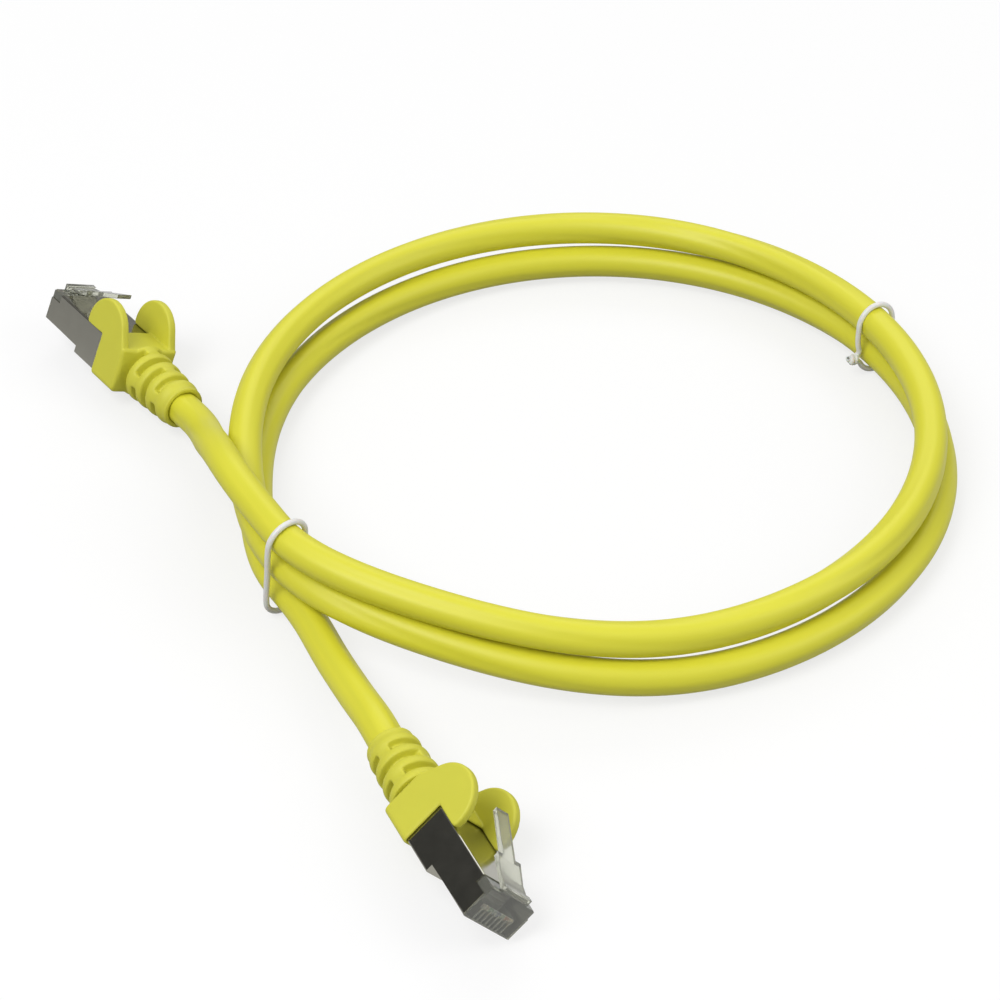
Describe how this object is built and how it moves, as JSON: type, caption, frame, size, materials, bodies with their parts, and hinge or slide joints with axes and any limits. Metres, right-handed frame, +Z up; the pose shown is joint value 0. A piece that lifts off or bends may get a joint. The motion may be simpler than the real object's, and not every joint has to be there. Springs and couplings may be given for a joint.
{
  "type": "ethernet patch cable",
  "caption": "Round shielded patch cable with booted modular plugs, wound in loose turns held by wire ties.",
  "frame": {"origin": "on the surface the cable lies on, below the middle of the box round the plugs and ties", "axes": "+Z up; the coil lies flat in XY, with plug a to -X and plug b to -Y"},
  "size_m": [0.1795, 0.2011, 0.0221],
  "materials": {
    "jacket_pvc": "soft satin PVC with faint lengthwise ridges",
    "boot_pvc": "moulded PVC, fine matte",
    "clear_polycarbonate": "clear, slightly grey, polished",
    "shield_nickel_plate": "nickel-plated sheet, dull sheen",
    "contact_gold_plate": "gold-plated, polished",
    "load_bar_polycarbonate": "milky, moulded",
    "braid_tinned_copper": "fine tinned wire weave",
    "tie_coat_pvc": "smooth white PVC",
    "tie_wire_steel": "bare cut wire",
    "insulation_white_orange": "thin solid polyolefin",
    "insulation_orange": "thin solid polyolefin",
    "insulation_white_green": "thin solid polyolefin",
    "insulation_blue": "thin solid polyolefin",
    "insulation_white_blue": "thin solid polyolefin",
    "insulation_green": "thin solid polyolefin",
    "insulation_white_brown": "thin solid polyolefin",
    "insulation_brown": "thin solid polyolefin"
  },
  "bodies": {
    "cable": {"cable_jacket": "jacket_pvc", "tie_coat_1": "tie_coat_pvc", "tie_wire_1": "tie_wire_steel", "tie_coat_2": "tie_coat_pvc", "tie_wire_2": "tie_wire_steel", "housing_a": "clear_polycarbonate", "shield_a": "shield_nickel_plate", "load_bar_a": "load_bar_polycarbonate", "braid_a": "braid_tinned_copper", "boot_a": "boot_pvc", "housing_b": "clear_polycarbonate", "shield_b": "shield_nickel_plate", "load_bar_b": "load_bar_polycarbonate", "braid_b": "braid_tinned_copper", "boot_b": "boot_pvc", "contact_a1": "contact_gold_plate", "contact_a2": "contact_gold_plate", "contact_a3": "contact_gold_plate", "contact_a4": "contact_gold_plate", "contact_a5": "contact_gold_plate", "contact_a6": "contact_gold_plate", "contact_a7": "contact_gold_plate", "contact_a8": "contact_gold_plate", "contact_b1": "contact_gold_plate", "contact_b2": "contact_gold_plate", "contact_b3": "contact_gold_plate", "contact_b4": "contact_gold_plate", "contact_b5": "contact_gold_plate", "contact_b6": "contact_gold_plate", "contact_b7": "contact_gold_plate", "contact_b8": "contact_gold_plate", "conductor_a1": "insulation_white_orange", "conductor_a2": "insulation_orange", "conductor_a3": "insulation_white_green", "conductor_a4": "insulation_blue", "conductor_a5": "insulation_white_blue", "conductor_a6": "insulation_green", "conductor_a7": "insulation_white_brown", "conductor_a8": "insulation_brown", "conductor_b1": "insulation_white_orange", "conductor_b2": "insulation_orange", "conductor_b3": "insulation_white_green", "conductor_b4": "insulation_blue", "conductor_b5": "insulation_white_blue", "conductor_b6": "insulation_green", "conductor_b7": "insulation_white_brown", "conductor_b8": "insulation_brown"},
    "latch_a": {"latch_a": "clear_polycarbonate"},
    "latch_b": {"latch_b": "clear_polycarbonate"}
  },
  "joints": [
    {"name": "latch_a_flex", "type": "hinge", "parent": "cable", "child": "latch_a", "pos_m": [-0.07794, 0.08588, 0.01072], "axis": [0.7391, 0.537, -0.4067], "range_deg": [0, 16], "stiffness_Nm_per_rad": 0.15},
    {"name": "latch_b_flex", "type": "hinge", "parent": "cable", "child": "latch_b", "pos_m": [0.00917, -0.08467, 0.01052], "axis": [-0.597, -0.2721, 0.7547], "range_deg": [0, 16], "stiffness_Nm_per_rad": 0.15}
  ]
}
